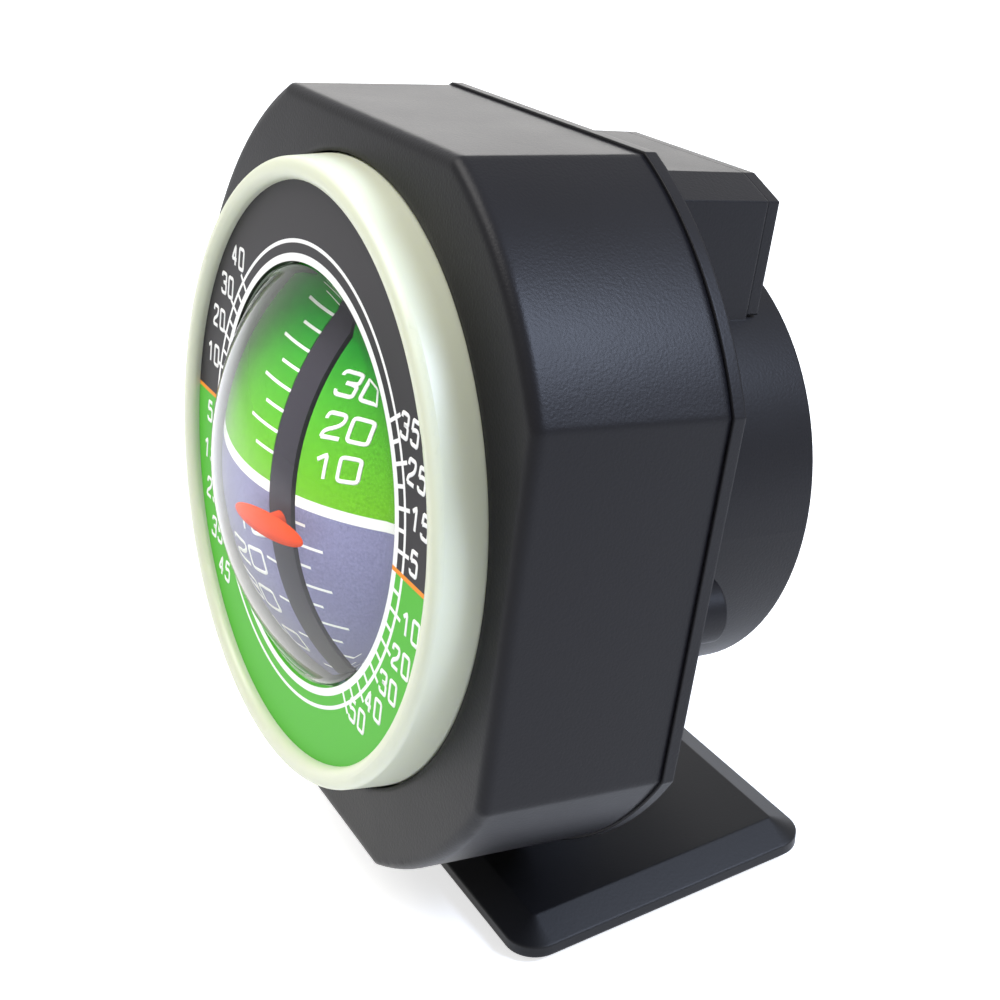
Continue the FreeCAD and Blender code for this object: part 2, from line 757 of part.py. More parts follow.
def box_section(start, end, bottom):
    """The lamp box's outline, with a flat top and two bevels, as a bar along the case's axis."""
    sketch = doc.addObject("Sketcher::SketchObject", "BoxOutline")
    sketch.Placement = FreeCAD.Placement(FreeCAD.Vector(), FreeCAD.Rotation(FreeCAD.Vector(1, 0, 0), 90))
    polygon(sketch, [
        ("-box_half_width", bottom),
        ("box_half_width", bottom),
        ("box_half_width", "box_shoulder"),
        ("box_top_half_width", "box_top"),
        ("-box_top_half_width", "box_top"),
        ("-box_half_width", "box_shoulder"),
    ])
    at(sketch, y=start)
    bar = doc.addObject("Part::Extrusion", "Bar")
    bar.Base = sketch
    bar.DirMode = "Custom"
    bar.Dir = FreeCAD.Vector(0, 1, 0)
    bar.Solid = True
    bind(bar, {"LengthFwd": "(%s) - (%s)" % (end, start)})
    return bar


def rear_cover():
    """Cover with an inner lip, the drum over the bowl, the lamp box, two screw towers and the tilt lug."""
    plate = flatted("cover_round", "cover_flat", "parting_back", "cover_back")
    lip_front = "parting_back - lip_depth"
    lip = cut(
        flatted("inside_round - slack", "inside_flat - slack", lip_front, "cover_back"),
        flatted("lip_inside_round", "lip_inside_flat", lip_front + " - overrun", "parting_back"),
    )
    drum = rod("Y", "drum_radius", "parting_back", "drum_back")
    lamp_box = box_section("parting_back", "box_end", "drum_radius / 2")
    towers = [rod("Y", "tower_radius", "parting_back", "tower_back", x=x, z=z) for x, z in tower_places()]
    lug = rod("X", "lug_radius", *both("lug_half_width"), y="hinge_back", z="-hinge_down")
    lug_sides = ("hinge_back - lug_radius", "hinge_back + lug_radius")
    neck = brick(both("lug_half_width"), lug_sides, ("-hinge_down", "drum_wall - drum_radius"))
    solid = join(plate, lip, drum, lamp_box, lug, neck, *towers)
    drum_bore = rod("Y", "drum_radius - drum_wall", "0", "drum_back - drum_wall")
    pin_span = both("lug_half_width + overrun")
    pin_bore = rod("X", "bolt_radius + turn_play", *pin_span, y="hinge_back", z="-hinge_down")
    room_depth = ("box_inside_front", "box_back")
    cell_room = brick(both("cell_radius + slack"), room_depth, ("box_floor", "box_roof"))
    wire_hole = rod("Y", "spindle_radius", "0", "box_back", z="box_middle")
    holes = []
    for x, z in tower_places():
        holes.append(rod("Y", "case_screw_radius + slack", "0", "tower_back", x=x, z=z))
        holes.append(rod("Y", "case_head_radius + slack", "head_seat", "tower_back + overrun", x=x, z=z))
    for x in both("lid_screw_side"):
        hole_start = "box_end - lid_screw_depth - slack"
        holes.append(rod("Y", "lid_screw_radius + fit", hole_start, "box_back", x=x, z="box_middle"))
    finish(cut(solid, drum_bore, pin_bore, cell_room, wire_hole, *holes), "rear_cover", CASE_FRAME)


def lamp_box_lid():
    """Lid at the rear of the lamp box, shaped over the drum, with the switch's slot."""
    bar = box_section("box_end", "box_back", "drum_radius / 2")
    past_lid = "box_back + overrun"
    drum_room = rod("Y", "drum_radius + air", "0", past_lid)
    slot = brick(both("slot_half_length"), ("0", past_lid), slot_span())
    holes = []
    for x in both("lid_screw_side"):
        holes.append(rod("Y", "lid_screw_radius + turn_play", "0", past_lid, x=x, z="box_middle"))
    finish(cut(bar, drum_room, slot, *holes), "lamp_box_lid", CASE_FRAME)


def slot_span(play="0"):
    """The switch slot's two edges up the lid."""
    half = "slot_height / 2 - %s" % play
    return "box_middle - (%s)" % half, "box_middle + (%s)" % half


def lid_screws():
    """Two screws of the lid."""
    screws = []
    for x in both("lid_screw_side"):
        shank_end = "box_end - lid_screw_depth"
        shank = rod("Y", "lid_screw_radius", shank_end, "box_back + fit", x=x, z="box_middle")
        head = rod("Y", "lid_head_radius", "box_back", "box_back + lid_head_height", x=x, z="box_middle")
        screws.append(join(shank, head))
    finish(group(*screws), "lid_screws", CASE_FRAME)


def switch_slider():
    """Lamp switch: a stem in the lid's slot with a flange inside and a grip outside, in its off place."""
    left = "switch_off - switch_half_length"
    right = "switch_off + switch_half_length"
    low, high = slot_span("turn_play")
    inside = "box_end - turn_play"
    stem = brick((left, right), (inside + " - switch_rise", "box_back + switch_rise"), (low, high))
    wide = (left + " - switch_flange", right + " + switch_flange")
    tall = (low + " - switch_flange", high + " + switch_flange")
    flange = brick((left, right), (inside + " - switch_rise", inside), tall)
    grip = brick(wide, ("box_back + turn_play", "box_back + switch_rise"), tall)
    finish(join(stem, flange, grip), "switch_slider", CASE_FRAME)


def coin_cells():
    """Two coin cells, one on the other."""
    cells = []
    for level in ("0", "cell_thickness"):
        bottom = "box_floor + contact_thickness + %s" % level
        cells.append(rod("Z", "cell_radius", bottom, bottom + " + cell_thickness", y="cell_back"))
    finish(group(*cells), "coin_cells", CASE_FRAME)


def cell_contacts():
    """Two contact plates, under and over the cells."""
    plates = []
    for level in ("0", "contact_thickness + 2 * cell_thickness"):
        bottom = "box_floor + %s" % level
        sides = ("box_inside_front", "cell_back + contact_half_width")
        plates.append(brick(both("contact_half_width"), sides, (bottom, bottom + " + contact_thickness")))
    finish(group(*plates), "cell_contacts", CASE_FRAME)


def lamp_board():
    """Small board on the clamp's two short posts."""
    depth = ("board_front", "board_front + board_thickness")
    board = brick(both("board_half_width"), depth, ("board_top - board_height", "board_top"))
    finish(group(board), "lamp_board", CASE_FRAME)


def lamp():
    """Lamp on the board, in front of the clamp's window, behind the ring's flange."""
    height = ("ring_seat_radius", "ring_seat_radius + lamp_height - slack")
    lens = brick(both("lamp_half_width"), ("board_front - lamp_depth", "board_front"), height)
    finish(group(lens), "lamp_led", CASE_FRAME)


def roll_gimbal():
    """Disc between the ball's halves, with a notch for the bearing and a hole for the pointer."""
    disc = rod("X", "disc_radius", *both("disc_half"))
    bush_bore = rod("X", "bush_radius + fit", *both("disc_half + overrun"))
    notch_start = "bearing_back - air"
    notch = brick(both("disc_half + overrun"), (notch_start, "drum_back"), both("bearing_radius + air"))
    spindle_bore = rod("Y", "spindle_radius + fit", notch_start + " - spindle_grip", "drum_back")
    stem_bore = slanted_stem("pointer_stem_radius + fit", "pointer_stem_grip + fit")
    finish(cut(disc, bush_bore, notch, spindle_bore, stem_bore), "roll_gimbal", GIMBAL_FRAME)


def slanted_stem(radius, grip):
    """A bar from the disc's rim to the pointer, square to the rim."""
    stem = doc.addObject("Part::Cylinder", "Stem")
    reach = "sqrt(pointer_back ^ 2 + pointer_down ^ 2)"
    start = "disc_radius - (%s)" % grip
    bind(stem, {"Radius": radius, "Height": "%s - (%s)" % (reach, start)})
    out = "-(%s) * pointer_back / %s" % (start, reach)
    down = "-(%s) * pointer_down / %s" % (start, reach)
    slope = "90 deg + atan(pointer_down / pointer_back)"
    place = "placement(vector(0; %s; %s); rotation(vector(1; 0; 0); %s))" % (out, down, slope)
    bind(stem, {"Placement": place})
    return stem


def pointer_wing():
    """Orange pointer: a flat oval bar in front of the ball, on a round stem."""
    wing = doc.addObject("Part::Ellipsoid", "Wing")
    halves = ("pointer_half_height", "pointer_half_length", "pointer_half_depth")
    bind(wing, dict(zip(("Radius1", "Radius2", "Radius3"), halves)))
    at(wing, y="-pointer_back", z="-pointer_down")
    stem = slanted_stem("pointer_stem_radius", "pointer_stem_grip")
    finish(join(wing, stem), "pointer_wing", GIMBAL_FRAME)


def roll_spindle():
    """Pin at the rear of the disc that turns in the bearing."""
    start = "bearing_back - air - spindle_grip"
    pin = rod("Y", "spindle_radius", start, "bearing_back + spindle_reach")
    finish(group(pin), "roll_spindle", GIMBAL_FRAME)


def pitch_bush():
    """Bush in the middle of the disc."""
    ring = rod("X", "bush_radius", *both("disc_half"))
    bore = rod("X", "shaft_radius + turn_play", *both("disc_half + overrun"))
    finish(cut(ring, bore), "pitch_bush", GIMBAL_FRAME)


def beside(right, start, end):
    """A span on the right of the gimbal disc, or the same span on its left."""
    return (start, end) if right else ("-(%s)" % end, "-(%s)" % start)


def ball_half(label, right):
    """Half of the floating ball: a round shell that is open towards the disc."""
    shell = cut(globe("ball_radius"), globe("pocket_radius"))
    keep = brick(beside(right, "ball_slot_half", "ball_radius"), both("ball_radius"), both("ball_radius"))
    finish(common(shell, keep), label, BALL_FRAME)


def half_cover(label, right):
    """Flat cover of a ball half, with the shaft's hub."""
    inner_end = "ball_slot_half + cover_wall"
    plate_radius = "sqrt(pocket_radius ^ 2 - (%s) ^ 2) - fit" % inner_end
    plate = rod("X", plate_radius, *beside(right, "ball_slot_half", inner_end))
    hub = rod("X", "hub_radius", *beside(right, "ball_slot_half", "hub_reach"))
    bore = rod("X", "shaft_radius + fit", *both("ball_radius"))
    finish(cut(join(plate, hub), bore), label, BALL_FRAME)


def pitch_shaft():
    """Cross shaft of the ball."""
    finish(group(rod("X", "shaft_radius", *both("hub_reach"))), "pitch_shaft", BALL_FRAME)


def ball_weights():
    """Two weights on the covers near the bottom of the ball."""
    start = "ball_slot_half + cover_wall"
    end = start + " + weight_length"
    weights = []
    for right in (True, False):
        weights.append(rod("X", "weight_radius", *beside(right, start, end), z="-weight_down"))
    finish(group(*weights), "ball_weights", BALL_FRAME)


base_plate()
adhesive_pad()
swivel_fork()
swivel_screw()
swivel_washer()
tilt_bolt()
tilt_nut()
tilt_washers()
front_housing()
glow_ring()
dial_plate()
clear_dome()
capsule_bowl()
capsule_seal()
filler_plug()
roll_bearing()
capsule_clamp()
clamp_screws()
case_screws()
rear_cover()
lamp_box_lid()
lid_screws()
switch_slider()
coin_cells()
cell_contacts()
lamp_board()
lamp()
roll_gimbal()
pointer_wing()
roll_spindle()
pitch_bush()
ball_half("right_ball_half", True)
ball_half("left_ball_half", False)
half_cover("right_half_cover", True)
half_cover("left_half_cover", False)
pitch_shaft()
ball_weights()

doc.recompute()
failed = [thing.Label for thing in doc.Objects if {"Invalid", "Error"} & set(thing.State)]
if failed:
    raise RuntimeError("failed objects: %s" % failed)
for thing in finished:
    if thing.Shape.isNull() or not thing.Shape.isValid() or thing.Shape.Volume <= 0:
        raise RuntimeError("bad shape: %s" % thing.Label)

os.makedirs("parts", exist_ok=True)
for thing in finished:
    box = thing.Shape.BoundBox
    print("%-18s %2d solids %9.1f mm3  X %.1f..%.1f  Y %.1f..%.1f  Z %.1f..%.1f" % (
        thing.Label, len(thing.Shape.Solids), thing.Shape.Volume,
        box.XMin, box.XMax, box.YMin, box.YMax, box.ZMin, box.ZMax,
    ))
    thing.Shape.exportStep("parts/%s.step" % thing.Label)
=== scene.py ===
# %% [markdown]
# # A dashboard inclinometer
#
# The gauge stands on a small foot and its dial leans back a little. A green and grey ball
# floats in a clear capsule, with a black band between its halves and an orange pointer in
# front, and a printed ring around the capsule carries the roll scale. Each step says what the
# piece is on the real object, how it could be made here, and why it is made this way.

# %% Load the frame
import json
import math
import bmesh
import bpy
from mathutils import Matrix, Vector

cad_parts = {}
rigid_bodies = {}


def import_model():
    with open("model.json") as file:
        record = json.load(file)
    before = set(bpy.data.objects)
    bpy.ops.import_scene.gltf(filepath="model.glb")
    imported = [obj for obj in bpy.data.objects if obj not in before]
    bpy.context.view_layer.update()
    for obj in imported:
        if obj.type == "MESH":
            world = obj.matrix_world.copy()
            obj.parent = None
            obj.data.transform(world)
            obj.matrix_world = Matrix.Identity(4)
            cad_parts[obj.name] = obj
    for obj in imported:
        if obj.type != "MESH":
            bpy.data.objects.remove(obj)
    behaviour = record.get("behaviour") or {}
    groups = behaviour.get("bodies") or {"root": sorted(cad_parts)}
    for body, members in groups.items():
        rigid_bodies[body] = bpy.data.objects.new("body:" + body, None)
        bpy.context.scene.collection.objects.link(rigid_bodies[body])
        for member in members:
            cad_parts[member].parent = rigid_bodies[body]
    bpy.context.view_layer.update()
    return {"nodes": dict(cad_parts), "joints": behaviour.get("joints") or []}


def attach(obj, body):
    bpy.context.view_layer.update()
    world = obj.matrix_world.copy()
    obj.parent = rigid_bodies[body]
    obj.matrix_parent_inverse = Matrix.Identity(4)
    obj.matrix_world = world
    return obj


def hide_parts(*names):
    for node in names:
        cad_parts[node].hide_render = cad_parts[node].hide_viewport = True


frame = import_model()

# %% [markdown]
# ## Where the case, the ball and the pointer are
#
# The case leans back, so its dial needs a frame of its own. The joints already say where the
# ball's middle is and how the roll and pitch axes run. The dial's frame follows from them:
# its origin is the dial's centre, X is to the reader's right, Y into the case and Z up the
# dial. Working the frames out from the joints keeps prints and pieces in place when the
# solids change.

# %% Frames from the joints
MM = 0.001
# How far the ball's middle lies behind the dial
BALL_BACK = 19.6 * MM
# How far the ball leans over in the gimbal when the part is at rest
PITCH = math.radians(4.0)

joints = {joint["name"]: joint for joint in frame["joints"]}
ball_middle = Vector(joints["ball_roll"]["pos_m"])
case_y = Vector(joints["ball_roll"]["axis"]).normalized()
case_x = Vector((1, 0, 0))
case_z = case_x.cross(case_y)
ball_x = Vector(joints["ball_pitch"]["axis"]).normalized()


def frame_matrix(x, y, z, origin):
    """A 4 x 4 matrix whose columns are three axes and an origin."""
    return Matrix.Translation(origin) @ Matrix((x, y, z)).transposed().to_4x4()


dial_frame = frame_matrix(case_x, case_y, case_z, ball_middle - BALL_BACK * case_y)
gimbal_frame = frame_matrix(ball_x, case_y, ball_x.cross(case_y), ball_middle)
ball_frame = gimbal_frame @ Matrix.Rotation(PITCH, 4, "X")
print("dial's centre:", [round(value, 4) for value in dial_frame.translation])
print("ball's middle:", [round(value, 4) for value in ball_middle])

# %% [markdown]
# ## The camera
#
# The photograph was taken from close by, to the right of the dial and above it, so the case
# shows strong perspective. Any camera on that side would show the same faces; this one has
# the distance, the angles and the lens that the circles and edges in the photograph fit.

# %% Camera
CAMERA_LENS = 53.27
CAMERA_PLACE = (0.10819, -0.06472, 0.09562)
CAMERA_ANGLES = (62.989, 0.591, 60.247)
# The camera is nearer to the object than Blender's usual start of what it sees
NEAREST_SEEN = 0.01

camera_data = bpy.data.cameras.new("camera")
camera_data.lens = CAMERA_LENS
camera_data.clip_start = NEAREST_SEEN
camera = bpy.data.objects.new("camera", camera_data)
bpy.context.collection.objects.link(camera)
camera.location = CAMERA_PLACE
camera.rotation_euler = [math.radians(angle) for angle in CAMERA_ANGLES]
bpy.context.scene.camera = camera
print("camera lens:", CAMERA_LENS, "mm")

# %% [markdown]
# ## The lamps
#
# In the photograph the top of the case is pale, the corner beside it has a cool sheen and the
# sides stay nearly black. Bare points of light would leave small hard spots on the window, so
# the lamps are soft rectangles: a warm one high above the front, a bluish one high behind the
# right side for the sheen on the corner, and a weak one low behind the left side.

# %% Lamps
scene = bpy.context.scene
scene.view_settings.view_transform = "Standard"


def add_area(name, place, aim, width, height, power, colour):
    """A soft rectangular lamp that points at a place on the object."""
    data = bpy.data.lights.new(name, "AREA")
    data.shape = "RECTANGLE"
    data.size = width
    data.size_y = height
    data.energy = power
    data.color = colour
    lamp = bpy.data.objects.new(name, data)
    bpy.context.collection.objects.link(lamp)
    lamp.location = place
    lamp.rotation_euler = (Vector(aim) - Vector(place)).to_track_quat("-Z", "Y").to_euler()


WARM = (1.0, 0.98, 0.95)
BLUISH = (0.66, 0.76, 1.0)
add_area("top_light", (-0.10, -0.17, 0.44), (0, 0, 0.04), 0.26, 0.26, 1.9, WARM)
add_area("right_light", (0.285, 0.22, 0.38), (0.03, 0, 0.05), 0.16, 0.18, 3.1, BLUISH)
add_area("back_light", (-0.50, 0.30, 0.14), (0, 0, 0.07), 0.3, 0.15, 0.4, WARM)

# %% [markdown]
# ## The room
#
# The photograph's background is plain white with a soft shadow under the foot. A bright world
# would give white but wash the object out. So the world and the floor look white to the
# camera, in reflections and through the window, and light the object at a plain level.

# %% Node helpers


def new_nodes(tree):
    """An emptied node tree and a short way to add nodes to it."""
    tree.nodes.clear()

    def add(kind, **settings):
        """A node with its settings, by the node's type name without its prefix."""
        node = tree.nodes.new("ShaderNode" + kind)
        for key, setting in settings.items():
            setattr(node, key, setting)
        return node

    return add


def seen_directly(tree):
    """1 for rays from the camera, in reflections and through the window, 0 for diffuse light."""
    path = tree.nodes.new("ShaderNodeLightPath")
    result = path.outputs["Is Camera Ray"]
    for kind in ("Is Glossy Ray", "Is Transmission Ray"):
        either = tree.nodes.new("ShaderNodeMath")
        either.operation = "MAXIMUM"
        tree.links.new(result, either.inputs[0])
        tree.links.new(path.outputs[kind], either.inputs[1])
        result = either.outputs[0]
    return result


# %% World
AMBIENT = 0.38

world = bpy.data.worlds.new("studio")
world.use_nodes = True
scene.world = world
add = new_nodes(world.node_tree)
strength = add("MapRange")
strength.inputs["To Min"].default_value = AMBIENT
strength.inputs["To Max"].default_value = 1.0
world.node_tree.links.new(seen_directly(world.node_tree), strength.inputs["Value"])
background = add("Background")
background.inputs["Color"].default_value = (1, 1, 1, 1)
world.node_tree.links.new(strength.outputs[0], background.inputs["Strength"])
world.node_tree.links.new(background.outputs[0], add("OutputWorld").inputs["Surface"])
print("world light:", AMBIENT)

# %% Floor
FLOOR_HALF = 3.0
FLOOR_WHITE = 0.9

floor_mesh = bpy.data.meshes.new("floor")
cells = bmesh.new()
bmesh.ops.create_grid(cells, x_segments=1, y_segments=1, size=FLOOR_HALF)
cells.to_mesh(floor_mesh)
cells.free()
floor = bpy.data.objects.new("floor", floor_mesh)
bpy.context.collection.objects.link(floor)

floor_material = bpy.data.materials.new("floor")
floor_material.use_nodes = True
floor_shader = floor_material.node_tree.nodes["Principled BSDF"]
floor_shader.inputs["Base Color"].default_value = (FLOOR_WHITE, FLOOR_WHITE, FLOOR_WHITE, 1)
floor_shader.inputs["Roughness"].default_value = 0.9
floor_shader.inputs["Specular IOR Level"].default_value = 0.0
floor_shader.inputs["Emission Color"].default_value = (1, 1, 1, 1)
glow = floor_material.node_tree.nodes.new("ShaderNodeMath")
glow.operation = "MULTIPLY"
glow.inputs[1].default_value = 1.0 - FLOOR_WHITE * AMBIENT
floor_material.node_tree.links.new(seen_directly(floor_material.node_tree), glow.inputs[0])
floor_material.node_tree.links.new(glow.outputs[0], floor_shader.inputs["Emission Strength"])
floor_mesh.materials.append(floor_material)
print("floor:", 2 * FLOOR_HALF, "m wide")

# %% [markdown]
# ## Surfaces: moulded plastic
#
# Most of the gauge is black plastic with a fine moulded grain. A flat colour would look like
# a drawing, and a picture of grain would stretch over the sides, so the grain is a noise in
# the object's own space. One shared group holds it: a little colour change, a little
# roughness change, a shallow bump and softened edges, each with its own socket, so that case,
# foot, ring and small parts can share it with their own numbers.

# %% A shared group for moulded surfaces
CLOUD_SCALE = 90.0
GRAIN_HEIGHT = 0.02 * MM


def make_grain_group():
    """A node group: colour, roughness and normal of a moulded surface."""
    tree = bpy.data.node_groups.new("moulded_surface", "ShaderNodeTree")
    sockets = tree.interface.new_socket
    for name, kind, first in (
        ("Color", "NodeSocketColor", (0.5, 0.5, 0.5, 1)),
        ("Color Change", "NodeSocketFloat", 0.1),
        ("Roughness", "NodeSocketFloat", 0.5),
        ("Roughness Change", "NodeSocketFloat", 0.1),
        ("Grain Scale", "NodeSocketFloat", 4000.0),
        ("Grain Depth", "NodeSocketFloat", 0.1),
        ("Edge Radius", "NodeSocketFloat", 0.0),
    ):
        socket = sockets(name=name, in_out="INPUT", socket_type=kind)
        socket.default_value = first
    for name, kind in (
        ("Color", "NodeSocketColor"),
        ("Roughness", "NodeSocketFloat"),
        ("Normal", "NodeSocketVector"),
    ):
        sockets(name=name, in_out="OUTPUT", socket_type=kind)
    add = new_nodes(tree)
    link = tree.links.new
    source = tree.nodes.new("NodeGroupInput")
    target = tree.nodes.new("NodeGroupOutput")
    place = add("TexCoord")
    grain = add("TexNoise")
    grain.inputs["Detail"].default_value = 3.0
    link(place.outputs["Object"], grain.inputs["Vector"])
    link(source.outputs["Grain Scale"], grain.inputs["Scale"])
    cloud = add("TexNoise")
    cloud.inputs["Scale"].default_value = CLOUD_SCALE
    cloud.inputs["Detail"].default_value = 4.0
    link(place.outputs["Object"], cloud.inputs["Vector"])
    change = add("MapRange")
    link(cloud.outputs["Fac"], change.inputs["Value"])
    change.inputs["To Min"].default_value = -1.0
    spread = add("Math", operation="MULTIPLY_ADD")
    link(change.outputs[0], spread.inputs[0])
    link(source.outputs["Color Change"], spread.inputs[1])
    spread.inputs[2].default_value = 1.0
    tint = add("VectorMath", operation="SCALE")
    link(source.outputs["Color"], tint.inputs[0])
    link(spread.outputs[0], tint.inputs["Scale"])
    link(tint.outputs[0], target.inputs["Color"])
    rough = add("Math", operation="MULTIPLY_ADD", use_clamp=True)
    link(change.outputs[0], rough.inputs[0])
    link(source.outputs["Roughness Change"], rough.inputs[1])
    link(source.outputs["Roughness"], rough.inputs[2])
    link(rough.outputs[0], target.inputs["Roughness"])
    soft_edge = add("Bevel", samples=8)
    link(source.outputs["Edge Radius"], soft_edge.inputs["Radius"])
    bump = add("Bump")
    bump.inputs["Distance"].default_value = GRAIN_HEIGHT
    link(soft_edge.outputs[0], bump.inputs["Normal"])
    link(grain.outputs["Fac"], bump.inputs["Height"])
    link(source.outputs["Grain Depth"], bump.inputs["Strength"])
    link(bump.outputs[0], target.inputs["Normal"])
    return tree


grain_group = make_grain_group()
print("sockets of the group:", len(grain_group.interface.items_tree))

# %% A material on the group
# A setting that is the same all over a surface goes on the shader's own socket, by these names
SOCKETS = {"metallic": "Metallic", "specular_level": "Specular IOR Level"}
ROUGHNESS_CHANGE = 0.05


def moulded(name, colour, roughness, change=0.12, scale=4000.0, depth=0.3, edge=0.0, **constants):
    """A material on the shared group, with the radius of its softened edges in millimetres."""
    material = bpy.data.materials.new(name)
    material.use_nodes = True
    tree = material.node_tree
    shader = tree.nodes["Principled BSDF"]
    group = tree.nodes.new("ShaderNodeGroup")
    group.node_tree = grain_group
    group.inputs["Color"].default_value = (*colour, 1)
    group.inputs["Color Change"].default_value = change
    group.inputs["Roughness"].default_value = roughness
    group.inputs["Roughness Change"].default_value = ROUGHNESS_CHANGE
    group.inputs["Grain Scale"].default_value = scale
    group.inputs["Grain Depth"].default_value = depth
    group.inputs["Edge Radius"].default_value = edge * MM
    tree.links.new(group.outputs["Color"], shader.inputs["Base Color"])
    tree.links.new(group.outputs["Roughness"], shader.inputs["Roughness"])
    tree.links.new(group.outputs["Normal"], shader.inputs["Normal"])
    for socket, setting in constants.items():
        shader.inputs[SOCKETS[socket]].default_value = setting
    return material


def dress(material, *nodes):
    """Give CAD nodes a material."""
    for node in nodes:
        for holder in [frame["nodes"][node], *frame["nodes"][node].children]:
            if holder.type == "MESH":
                holder.data.materials.clear()
                holder.data.materials.append(material)


# %% Case, cover and foot
HOUSING_COLOUR = (0.0058, 0.0056, 0.0072)
FOOT_COLOUR = (0.006, 0.006, 0.007)

case_black = moulded("case_black", HOUSING_COLOUR, 0.4, depth=0.9, edge=0.9, specular_level=0.15)
cover_black = moulded("cover_black", HOUSING_COLOUR, 0.42, depth=0.9, edge=0.25, specular_level=0.15)
foot_black = moulded("foot_black", FOOT_COLOUR, 0.42, depth=0.4, edge=0.3, specular_level=0.2)
dress(case_black, "front_housing")
dress(cover_black, "rear_cover", "lamp_box_lid")
dress(foot_black, "base_plate", "swivel_fork")
print("outer materials:", case_black.name, cover_black.name, foot_black.name)

# %% [markdown]
# ## Parts inside and behind
#
# Screws, bolts and coin cells are steel, contacts, bushes and weights are brass, and the
# clamp, bowl, seal, board and switch are plastic, rubber and foam. Hardly any of them shows, so
# each has its own colour and roughness on the shared group and nothing more.

# %% Parts inside and behind
dress(moulded("inner_black", (0.02, 0.02, 0.02), 0.5), "capsule_clamp")
dress(moulded("bowl_smoky", (0.62, 0.66, 0.6), 0.25, change=0.25, depth=0.1), "capsule_bowl")
dress(
    moulded("steel", (0.27, 0.27, 0.28), 0.38, scale=9000.0, metallic=1.0),
    "swivel_screw", "swivel_washer", "tilt_bolt", "tilt_nut", "clamp_screws", "case_screws",
    "lid_screws", "coin_cells", "roll_spindle", "pitch_shaft",
)
dress(
    moulded("brass", (0.72, 0.52, 0.22), 0.3, scale=9000.0, metallic=1.0),
    "cell_contacts", "roll_bearing", "pitch_bush", "ball_weights",
)
dress(moulded("foam", (0.05, 0.05, 0.05), 0.9, scale=2500.0, depth=1.0), "adhesive_pad")
dress(moulded("seal_black", (0.03, 0.03, 0.03), 0.7), "capsule_seal", "filler_plug")
dress(moulded("washer_white", (0.6, 0.6, 0.57), 0.5), "tilt_washers")
dress(moulded("switch_black", (0.06, 0.06, 0.065), 0.5), "switch_slider")
dress(moulded("board_green", (0.03, 0.16, 0.06), 0.35), "lamp_board")
dress(moulded("lamp_milky", (0.85, 0.85, 0.75), 0.3), "lamp_led")
dress(moulded("inner_grey", (0.35, 0.35, 0.36), 0.5), "right_half_cover", "left_half_cover")
print("materials so far:", len(bpy.data.materials))

# %% [markdown]
# ## The band and the pointer
#
# The black band between the ball's halves is the edge of the gimbal, and the orange wing on it
# is the pointer. Both lie in the liquid, which takes away most of a surface's gloss, so their
# own reflection is low or none and the window in front of them gives the shine.

# %% The band and the pointer
BAND_COLOUR = (0.038, 0.034, 0.047)
POINTER_COLOUR = (0.72, 0.055, 0.0)

band_black = moulded("band_black", BAND_COLOUR, 0.4, change=0.3, depth=0.0, specular_level=0.12)
pointer_orange = moulded("pointer_orange", POINTER_COLOUR, 0.4, depth=0.0, specular_level=0.0)
dress(band_black, "roll_gimbal")
dress(pointer_orange, "pointer_wing")
print("under the window:", band_black.name, pointer_orange.name)

# %% [markdown]
# ## The glowing ring
#
# The ring is cast in a pale luminous plastic: its crest is nearly white and its side goes
# cream with a hint of green, because light enters the plastic and comes out again. A little
# subsurface light does that more simply than layers of paint would.

# %% The ring's material
RING_COLOUR = (0.65, 0.68, 0.53)

ring_pale = moulded("ring_pale", RING_COLOUR, 0.38, change=0.03, scale=2500.0, depth=0.15)
ring_shader = ring_pale.node_tree.nodes["Principled BSDF"]
ring_shader.inputs["Subsurface Weight"].default_value = 0.35
ring_shader.inputs["Subsurface Radius"].default_value = (1.0, 1.0, 0.6)
ring_shader.inputs["Subsurface Scale"].default_value = 1.0 * MM
dress(ring_pale, "glow_ring")
print("ring colour:", RING_COLOUR)

# %% [markdown]
# ## The dial's print
#
# The printed ring is black above and green below, with an orange line on each side where
# the halves meet, two white circles and a rung every five degrees between them. The print
# could be thin raised pieces, but rungs and circles have exact radii and angles, so the
# material works them out from the distance and the angle about the dial's centre. Sizes are
# in millimetres of the dial, and angles in degrees.

# %% Print helpers
DEGREES = 180.0 / math.pi


